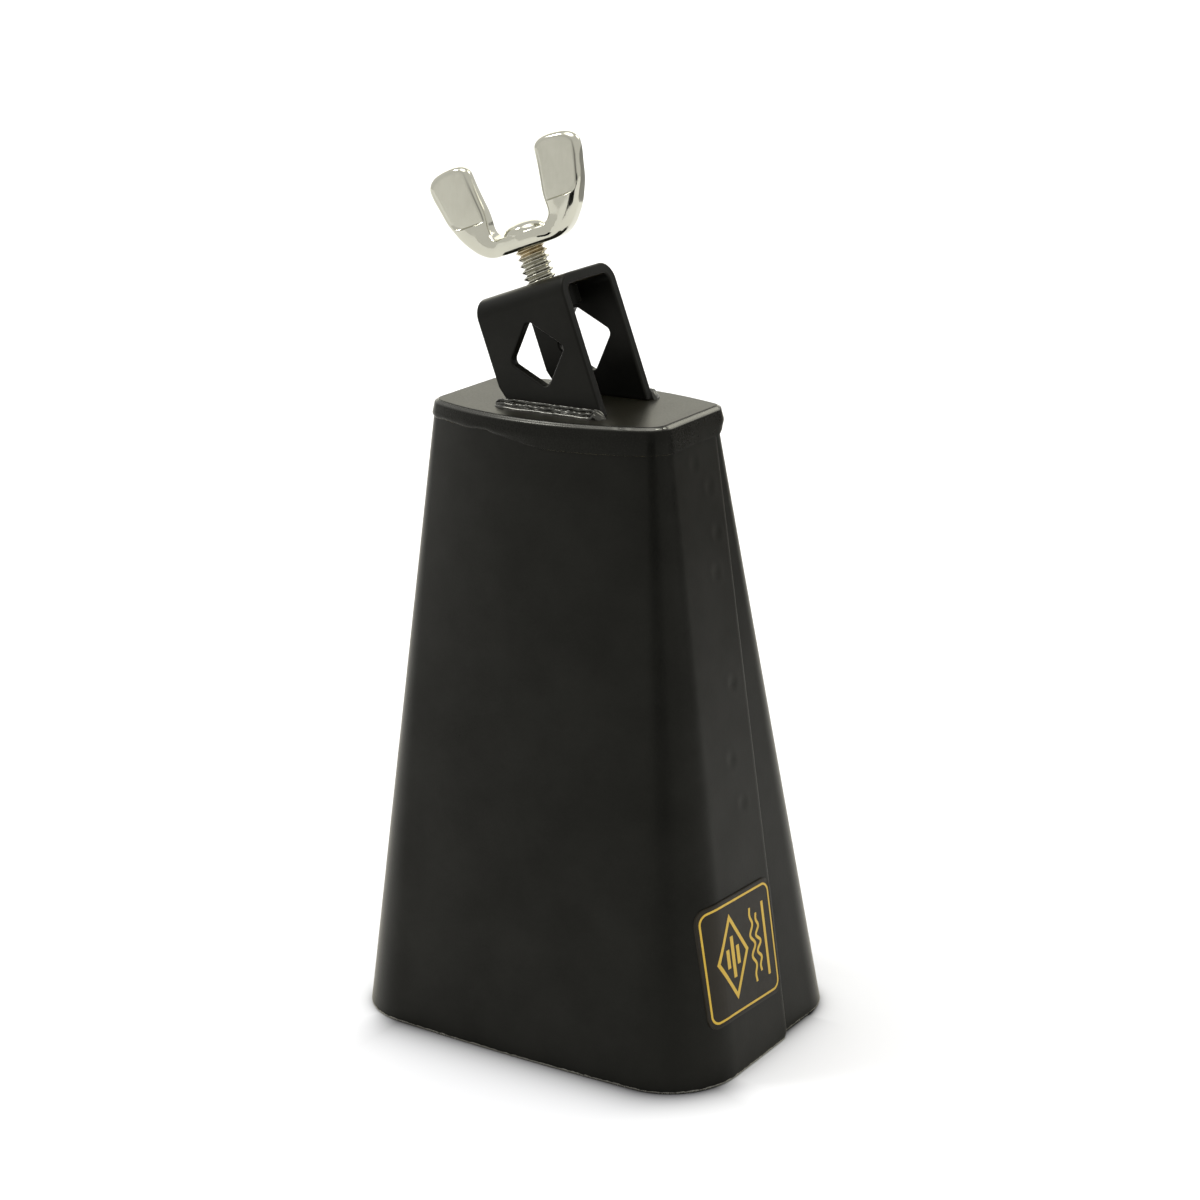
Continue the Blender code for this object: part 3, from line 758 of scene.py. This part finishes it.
def make_wing_head(finish):
    """Cast head: round-edged arms, whose wings have a flat milled on each face above a step."""
    columns = 36
    right = wing_half([(1 - math.cos(math.pi * j / columns)) / 2 for j in range(columns + 1)])
    rings, groove_shades = [], []
    for side, halves in ((-1, right[:0:-1]), (1, right)):
        for front in halves:
            ring = [Vector((side * x, -y, z)) * MM for x, y, z, _ in front]
            ring += [Vector((side * x, y, z)) * MM for x, y, z, _ in reversed(front)]
            rings.append(ring)
            # Painted shade: how much the chrome's colour is darkened at each point, most in the groove round
            # the flat
            shares = [GROOVE_SHADE_OUTER[side]] * (columns // 2) + [GROOVE_SHADE_INNER] * (columns // 2 + 1)
            groove_shade = [mark * share for (*_, mark), share in zip(front, shares)]
            groove_shades += groove_shade + groove_shade[::-1]
    bm = skin(rings, caps=False)
    bm.verts.ensure_lookup_table()
    layer = bm.verts.layers.float.new("groove_shade")
    for vert, groove_shade in zip(bm.verts, groove_shades):
        vert[layer] = groove_shade
    size = len(rings[0])
    for first in (0, (len(rings) - 1) * size):
        for j in range(columns):
            corners = (first + j, first + j + 1, first + size - 2 - j, first + size - 1 - j)
            bm.faces.new([bm.verts[k] for k in corners])
    bmesh.ops.recalc_face_normals(bm, faces=bm.faces)
    placing = HEAD_FRAME @ Matrix.Rotation(WING_TURN, 4, "Z")
    wing = new_object("wing_loft", bm)
    wing.matrix_world = placing

    boss = wing_boss()
    boss.matrix_world = placing
    cut(wing, boss, "UNION")
    bm = baked(wing, boss)
    add_piece("wing_grip", bm, finish, "wing", "wing_head", 50)


# ---- label

SIDE_SLANT = math.atan2(MOUTH_SECTION[0] - CROWN_SECTION[0], BELL_HEIGHT)


def label_point(across, up, lift):
    """Point on the bell's side. across runs from the seam to the front, and up along the slant."""
    past_bend = max(0.0, across - LABEL_STRAIGHT)
    height = LABEL_FOOT + up * math.cos(SIDE_SLANT) + LABEL_TILT * across - LABEL_DROP * past_bend**2
    path = half_outline(section_at(height, -lift), seam_at(height) - LABEL_FROM_SEAM)
    left = across
    for start, end in zip(path, path[1:]):
        step = math.dist(start, end)
        if left <= step:
            t = left / step
            return (mixed(start[0], end[0], t), mixed(start[1], end[1], t), height)
        left -= step
    return (*path[-1], height)


def make_label(finish):
    """Film with a thin raised edge."""
    columns, rows = 90, 70
    rings = []
    for i in range(columns + 1):
        across = LABEL_WIDTH * i / columns
        from_corner = max(0.0, LABEL_CORNER - min(across, LABEL_WIDTH - across))
        corner = LABEL_CORNER - math.sqrt(max(0.0, LABEL_CORNER**2 - from_corner**2))
        low, high = corner, LABEL_HEIGHT - corner
        ring = []
        for j in range(rows + 1):
            up = mixed(low, high, j / rows)
            edge = min(across, LABEL_WIDTH - across, up, LABEL_HEIGHT - up)
            rim = smooth_step(0.0, 0.2 * MM, edge) * (1 - smooth_step(0.45 * MM, 0.7 * MM, edge))
            ring.append(label_point(across, up, LABEL_FACE + LABEL_EDGE_RAISED * rim))
        for j in range(rows, -1, -1):
            ring.append(label_point(across, mixed(low, high, j / rows), 0.0))
        rings.append(ring)
    add_piece("label_film", skin(rings), finish, "bell", "side_label", 50)


def ribbon(points, width, closed):
    """Left and right edges of a ribbon along points, mitred at its corners."""
    count = len(points)
    edges = []
    for i in range(count):
        here = Vector(points[i])
        before = Vector(points[i - 1]) if closed or i > 0 else here
        after = Vector(points[(i + 1) % count]) if closed or i < count - 1 else here
        first = (here - before).normalized() if (here - before).length else (after - here).normalized()
        second = (after - here).normalized() if (after - here).length else first
        middle = (first + second).normalized()
        normal = Vector((-middle.y, middle.x))
        reach = width / 2 / max(0.35, middle.dot(first))
        edges.append((here - normal * reach, here + normal * reach))
    return edges


def make_print(name, points, width, closed, finish):
    """A printed line on the label, as a thin closed strip that follows the side's bend."""
    low, high = LABEL_FACE - INK_HALF, LABEL_FACE + INK_HALF
    rings = []
    for near, far in ribbon(points, width, closed):
        corners = ((near, low), (far, low), (far, high), (near, high))
        rings.append([label_point(*place, lift) for place, lift in corners])
    bm = skin(rings, closed_ends=closed)
    add_piece(name, bm, finish, "bell", None, 30)


def rounded_frame(inset, radius):
    low, wide, tall = inset, LABEL_WIDTH - inset, LABEL_HEIGHT - inset
    corners = ((wide - radius, low + radius, -90), (wide - radius, tall - radius, 0),
               (low + radius, tall - radius, 90), (low + radius, low + radius, 180))
    bends = [arc((x, y), radius, start, start + 90, 10) for x, y, start in corners]
    points = []
    for bend, following in zip(bends, bends[1:] + bends[:1]):
        points += bend + line(bend[-1], following[0])[1:-1]
    return points


def line(start, end, steps=16):
    shares = [i / steps for i in range(steps + 1)]
    return [(mixed(start[0], end[0], t), mixed(start[1], end[1], t)) for t in shares]


def make_prints(finish):
    """Border and a plain device: a lozenge with three bars, and two waves and a rule beside it."""
    inset, corner, width = BORDER
    make_print("label_border", rounded_frame(inset, corner), width, True, finish)
    across, up = LOZENGE_CENTRE
    reach, rise = LOZENGE_REACH
    tips = ((reach, 0), (0, rise), (-reach, 0), (0, -rise))
    lozenge = []
    for start, end in zip(tips, tips[1:] + tips[:1]):
        lozenge += [(across + x, up + y) for x, y in line(start, end, 10)[:-1]]
    make_print("label_lozenge", lozenge, LOZENGE_LINE, True, finish)
    for k, half in enumerate(BAR_HALF_LENGTHS):
        x = across + (k - 1) * BAR_SPACING
        make_print(f"label_bar_{k + 1}", line((x, up - half), (x, up + half)), BAR_WIDTH, False, finish)
    for k, (x, low, high) in enumerate(WAVES):
        wave = []
        for i in range(61):
            t = i / 60
            swing = WAVE_SWING * math.sin(t * math.pi * 7) * math.sin(math.pi * t)
            wave.append(((x + swing) * MM, mixed(low, high, t) * MM))
        make_print(f"label_wave_{k + 1}", wave, WAVE_WIDTH, False, finish)
    make_print("label_rule", line(*RULE, 24), RULE_WIDTH, False, finish)


# ---- materials

NOISE_RANGE = (0.3, 0.7)


class Nodes:
    """Small helper that adds nodes to one node tree."""

    def __init__(self, tree):
        self.tree = tree

    def fill(self, node, inputs):
        """Gives inputs, by name or number, a value or the output of another node."""
        for key, value in inputs.items():
            if isinstance(value, bpy.types.NodeSocket):
                self.tree.links.new(value, node.inputs[key])
            else:
                node.inputs[key].default_value = value

    def node(self, kind, inputs, **settings):
        made = self.tree.nodes.new(kind)
        for key, value in settings.items():
            setattr(made, key, value)
        self.fill(made, inputs)
        return made

    def math(self, operation, first, second):
        return self.node("ShaderNodeMath", {0: first, 1: second}, operation=operation).outputs[0]


class Finish(Nodes):
    """One material. Its patterns lie in the object's own coordinates."""

    def __init__(self, name, **values):
        self.material = bpy.data.materials.new(name)
        self.material.use_nodes = True
        super().__init__(self.material.node_tree)
        self.set(**values)
        self.place = self.node("ShaderNodeTexCoord", {}).outputs["Object"]
        self.axes = self.node("ShaderNodeSeparateXYZ", {0: self.place}).outputs

    def set(self, **values):
        """Fills inputs of the surface shader."""
        inputs = {key.replace("_", " "): value for key, value in values.items()}
        self.fill(self.tree.nodes["Principled BSDF"], inputs)

    def noise(self, scale, detail=3.0, roughness=0.55, source=None):
        inputs = {"Scale": scale, "Detail": detail, "Roughness": roughness, "Vector": source or self.place}
        return self.node("ShaderNodeTexNoise", inputs).outputs["Fac"]

    def ramp(self, value, low, high, start, end):
        """value from low..high becomes start..end, as numbers."""
        inputs = {"Value": value, "From Min": low, "From Max": high, "To Min": start, "To Max": end}
        return self.node("ShaderNodeMapRange", inputs).outputs["Result"]

    def spread(self, noise_value, start, end):
        """Noise over its usual range becomes start..end."""
        return self.ramp(noise_value, *NOISE_RANGE, start, end)

    def mix(self, factor, *colours):
        """Two colours, as tuples or outputs, mixed by a factor."""
        first, second = ((*c, 1.0) if isinstance(c, tuple) else c for c in colours)
        inputs = {"Factor": factor, 6: first, 7: second}
        return self.node("ShaderNodeMix", inputs, data_type="RGBA").outputs[2]

    def bump(self, height, distance, strength=1.0, **normal):
        inputs = {"Height": height, "Distance": distance, "Strength": strength, **normal}
        return self.node("ShaderNodeBump", inputs).outputs["Normal"]


def paint_finish(name, ground_edge, roughness, grain, gloss=(0.092, 0.132), crest_gloss=0.0, sheen=0.05):
    """Satin black paint with a fine grain. On the sheets, the mouth's edge is ground to bare steel.

    crest_gloss is added at the height of the crown's rim, which is rubbed to a shine.
    """
    made = Finish(name, Specular_Tint=(1.0, 0.985, 0.86, 1.0), Sheen_Weight=sheen, Sheen_Roughness=0.3)
    made.set(Sheen_Tint=(1.0, 0.86, 0.42, 1.0))
    blotch = made.noise(70, 4)
    speck = made.noise(2600, 2, 0.6)
    shine = made.spread(blotch, *gloss)
    if crest_gloss:
        rubbed = made.ramp(made.axes["Z"], *RUBBED_CREST, 0.0, crest_gloss)
        shine = made.math("ADD", shine, rubbed)
    made.set(Specular_IOR_Level=shine)
    colour = made.mix(blotch, (0.0030, 0.0030, 0.0026), (0.0045, 0.0045, 0.0038))
    colour = made.mix(made.ramp(speck, 0.35, 0.75, 0.0, 0.3), colour, (0.008, 0.0079, 0.0066))
    rough = made.spread(blotch, roughness - 0.03, roughness + 0.04)
    rough = made.math("ADD", rough, made.spread(speck, -0.03, 0.03))
    if ground_edge:
        ragged = made.spread(made.noise(900, 3), -0.12 * MM, 0.12 * MM)
        level = made.math("ADD", made.axes["Z"], ragged)
        bare = made.ramp(level, *GROUND_EDGE, 1.0, 0.0)
        steel = made.mix(made.noise(1500, 3), (0.30, 0.29, 0.25), (0.42, 0.41, 0.36))
        colour = made.mix(bare, colour, steel)
        rough = made.math("ADD", rough, made.math("MULTIPLY", bare, -0.08))
        made.set(Metallic=bare)
    made.set(Base_Color=colour, Roughness=rough)
    grained = made.bump(speck, grain, 0.5)
    made.set(Normal=made.bump(made.noise(420, 3), 0.02 * MM, 0.35, Normal=grained))
    return made.material


def chrome_finish():
    made = Finish("chrome", Metallic=1.0)
    cloud = made.noise(160, 3)
    colour = made.mix(cloud, (0.47, 0.46, 0.38), (0.53, 0.52, 0.435))
    # Painted shade: the colour darkens towards near black in the groove round each wing's flat
    groove_shade = made.node("ShaderNodeAttribute", {}, attribute_name="groove_shade")
    colour = made.mix(made.ramp(groove_shade.outputs["Fac"], 0.0, 1.0, 0.0, 0.85), colour, (0.03, 0.028, 0.02))
    scratch = made.node("ShaderNodeMapping", {"Scale": (1.0, 1.0, 0.12), "Vector": made.place})
    fine = made.noise(2400, 4, 0.6, scratch.outputs["Vector"])
    rough = made.math("ADD", made.spread(cloud, 0.08, 0.12), made.spread(fine, -0.015, 0.03))
    made.set(Base_Color=colour, Roughness=rough, Normal=made.bump(made.noise(90, 1), 0.05 * MM, 0.08))
    return made.material


def thread_finish():
    """Bright plated steel that turns brassy next to the head."""
    made = Finish("thread_steel", Metallic=1.0)
    away = made.node("ShaderNodeVectorMath", {0: made.place, 1: HEAD_ORIGIN}, operation="SUBTRACT").outputs[0]
    along = made.node("ShaderNodeVectorMath", {0: away, 1: SCREW_AXIS}, operation="DOT_PRODUCT")
    patchy = made.spread(made.noise(500, 2), -0.4 * MM, 0.4 * MM)
    brassy = made.ramp(made.math("ADD", along.outputs["Value"], patchy), *STUD_BRASSY, 0.0, 0.7)
    steel = made.mix(made.noise(400, 4), (0.38, 0.37, 0.31), (0.46, 0.45, 0.38))
    colour = made.mix(brassy, steel, (0.44, 0.35, 0.20))
    rough = made.spread(made.noise(600, 3), 0.1, 0.17)
    made.set(Base_Color=colour, Roughness=rough, Normal=made.bump(made.noise(1500, 2), 0.003 * MM, 0.2))
    return made.material


def spatter_finish():
    """Weld metal rubbed bright through the paint."""
    made = Finish("spatter", Metallic=0.8)
    cloud = made.noise(1500, 3)
    colour = made.mix(cloud, (0.07, 0.07, 0.055), (0.42, 0.42, 0.36))
    made.set(Base_Color=colour, Roughness=made.spread(cloud, 0.3, 0.15))
    return made.material


def label_finish():
    made = Finish("label_film", Specular_IOR_Level=0.14)
    colour = made.mix(made.noise(320, 4), (0.013, 0.0105, 0.0065), (0.020, 0.0165, 0.0105))
    rough = made.spread(made.noise(900, 3), 0.34, 0.44)
    made.set(Base_Color=colour, Roughness=rough, Normal=made.bump(made.noise(600, 3), 0.02 * MM, 0.4))
    return made.material


def gold_finish():
    made = Finish("label_gold", Metallic=0.35)
    cloud = made.noise(500, 4)
    colour = made.mix(cloud, (0.46, 0.27, 0.012), (0.54, 0.385, 0.055))
    made.set(Base_Color=colour, Roughness=made.spread(cloud, 0.32, 0.46))
    return made.material


# ---- stage


def flat_sheet(name, half_width, half_height):
    bm = bmesh.new()
    bmesh.ops.create_grid(bm, x_segments=1, y_segments=1, size=1.0)
    bmesh.ops.scale(bm, vec=(half_width, half_height, 1), verts=bm.verts)
    return new_object(name, bm)


def make_floor():
    """Plain pale floor, with a painted shadow: a soft dark line in its colour round the bell's foot."""
    floor = flat_sheet("floor", FLOOR_SIZE, FLOOR_SIZE)
    floor.location = (0, 0, -FLOOR_DROP)
    made = Finish("floor", Specular_IOR_Level=0.1, Roughness=0.9)
    pale = made.mix(made.noise(3, 2), (0.785, 0.785, 0.79), (0.795, 0.795, 0.80))
    half_width, half_depth, corner, _ = MOUTH_SECTION
    towards = direction(SHADOW_AZIMUTH, 0)
    squares, along = [], []
    for axis, half, part in (("X", half_width, towards.x), ("Y", half_depth, towards.y)):
        place = made.axes[axis]
        past = made.math("SUBTRACT", made.math("ABSOLUTE", place, 0.0), half - corner)
        past = made.math("MAXIMUM", past, 0.0)
        squares.append(made.math("MULTIPLY", past, past))
        signed = made.math("MULTIPLY", past, made.math("SIGN", place, 0.0))
        along.append(made.math("MULTIPLY", signed, part))
    radius = made.math("SQRT", made.math("ADD", *squares), 0.0)
    turned = made.math("DIVIDE", made.math("ADD", *along), radius)
    reach = made.ramp(turned, *SHADOW_TURN, *SHADOW_REACH)
    strength = made.ramp(turned, *SHADOW_TURN, *SHADOW_STRENGTH)
    distance = made.math("SUBTRACT", corner, radius)
    fading = made.math("EXPONENT", made.math("DIVIDE", distance, reach), 0.0)
    lit = made.math("SUBTRACT", 1.0, made.math("MULTIPLY", fading, strength))
    # Painted shadow: the floor's colour darkens from pale towards near black close to the bell's mouth
    # outline
    made.set(Base_Color=made.mix(lit, (0.02, 0.02, 0.022), pale))
    floor.data.materials.append(made.material)


def direction(azimuth, elevation):
    """Unit vector towards an azimuth, which is 0 in front and 90 degrees at +X."""
    level = math.cos(elevation)
    return Vector((math.sin(azimuth) * level, -math.cos(azimuth) * level, math.sin(elevation)))


def new_light(name, kind, power):
    light = bpy.data.objects.new(name, bpy.data.lights.new(name, kind))
    light.data.energy = power
    light.visible_camera = False
    SCENE.collection.objects.link(light)
    return light


def add_light(name, azimuth, elevation, distance, size, power, colour):
    """Soft rectangular light that faces the bell's middle, with its angles in degrees."""
    light = new_light(name, "AREA", power)
    light.data.shape = "RECTANGLE"
    light.data.size, light.data.size_y = size
    light.data.color = colour
    back = direction(math.radians(azimuth), math.radians(elevation))
    light.location = back * distance + Vector((0, 0, BELL_HEIGHT / 2))
    light.rotation_euler = (-back).to_track_quat("-Z", "Y").to_euler()


def make_world():
    """White studio, dimmer round the horizon than overhead. The backdrop itself is plain white."""
    world = bpy.data.worlds.new("studio")
    world.use_nodes = True
    made = Nodes(world.node_tree)
    towards = made.node("ShaderNodeTexCoord", {}).outputs["Generated"]
    sine = made.node("ShaderNodeSeparateXYZ", {0: towards}).outputs["Z"]
    level = made.node("ShaderNodeFloatCurve", {"Value": sine})
    curve = level.mapping.curves[0]
    brightest = SKY[-1][1]
    for k, (height, strength) in enumerate(SKY):
        if k < 2:
            curve.points[k].location = (height, strength / brightest)
        else:
            curve.points.new(height, strength / brightest)
    for point in curve.points:
        point.handle_type = "AUTO_CLAMPED"
    level.mapping.update()
    lighting = made.math("MULTIPLY", level.outputs["Value"], brightest)
    seen = made.node("ShaderNodeLightPath", {}).outputs["Is Camera Ray"]
    inputs = {"Factor": seen, "A": lighting, "B": BACKDROP_STRENGTH}
    strength = made.node("ShaderNodeMix", inputs, data_type="FLOAT").outputs["Result"]
    made.fill(made.tree.nodes["Background"], {"Strength": strength, "Color": (1.0, 1.0, 1.0, 1.0)})
    SCENE.world = world


def make_lights():
    sun = new_light("overhead", "SUN", 1.0)
    sun.data.angle = math.radians(14)
    sun.rotation_euler = direction(SUN_AZIMUTH, SUN_ELEVATION).to_track_quat("Z", "Y").to_euler()
    add_light("back", 214, 20, 1.4, (1.2, 0.5), 2.2, (1.0, 0.97, 0.72))
    add_light("right_back", 162, 34, 1.4, (0.5, 0.5), 3.2, (1.0, 0.98, 0.86))


def make_card(name, azimuth, distance, half_width, height, shade):
    """Upright card on the floor, seen only in reflections."""
    card = flat_sheet(name, half_width, height / 2)
    towards = direction(azimuth, 0)
    card.location = towards * distance + Vector((0, 0, height / 2))
    card.rotation_euler = (-towards).to_track_quat("-Z", "Y").to_euler()
    made = Finish(name, Roughness=1.0, Specular_IOR_Level=0.0)
    low, high = shade * 0.9, shade * 1.1
    made.set(Base_Color=made.mix(made.noise(4, 1), (low, low, low), (high, high, high)))
    card.data.materials.append(made.material)
    card.visible_camera = card.visible_diffuse = card.visible_shadow = False


def make_camera():
    back = direction(CAMERA_AZIMUTH, CAMERA_ELEVATION)
    level = Vector((math.cos(CAMERA_AZIMUTH), math.sin(CAMERA_AZIMUTH), 0))
    upright = Matrix((level, back.cross(level), back)).transposed()
    turn = upright @ Matrix.Rotation(CAMERA_ROLL, 3, "Z")
    aim = level * CAMERA_AIM[0] + Vector((0, 0, CAMERA_AIM[1]))
    data = bpy.data.cameras.new("camera")
    data.lens = CAMERA_LENS
    data.sensor_width = SENSOR_WIDTH
    data.clip_start = 0.01
    camera = bpy.data.objects.new("camera", data)
    camera.matrix_world = Matrix.Translation(aim + back * CAMERA_DISTANCE) @ turn.to_4x4()
    SCENE.collection.objects.link(camera)
    SCENE.camera = camera
    bpy.context.view_layer.update()


def main():
    SCENE.view_settings.view_transform = "Standard"
    make_camera()
    make_floor()
    make_world()
    make_lights()
    make_card("camera_side_card", CAMERA_AZIMUTH, 0.62, 0.18, 0.22, 0.003)
    make_card("right_rear_card", math.radians(146), 0.45, 0.34, 0.19, 0.32)
    sheet_paint = paint_finish("sheet_paint", True, 0.33, 0.02 * MM, sheen=0.16)
    part_paint = paint_finish("part_paint", False, 0.34, 0.02 * MM)
    rim_paint = paint_finish("rim_paint", False, 0.27, 0.003 * MM, (0.09, 0.12), 0.5, 0.16)
    bead_paint = paint_finish("bead_paint", False, 0.16, 0.004 * MM, (0.6, 0.75))
    make_front_shell(sheet_paint)
    make_rear_shell(sheet_paint)
    make_crown_plate(part_paint)
    make_crown_weld(rim_paint)
    make_rim_spatter(spatter_finish())
    make_clamp_bracket(part_paint)
    make_weld_nut(part_paint)
    make_bracket_weld("fillet_front", "bracket_weld_front", -1, bead_paint)
    make_bracket_weld("fillet_rear", "bracket_weld_rear", 1, bead_paint)
    make_stud(thread_finish())
    make_wing_head(chrome_finish())
    make_label(label_finish())
    make_prints(gold_finish())


main()
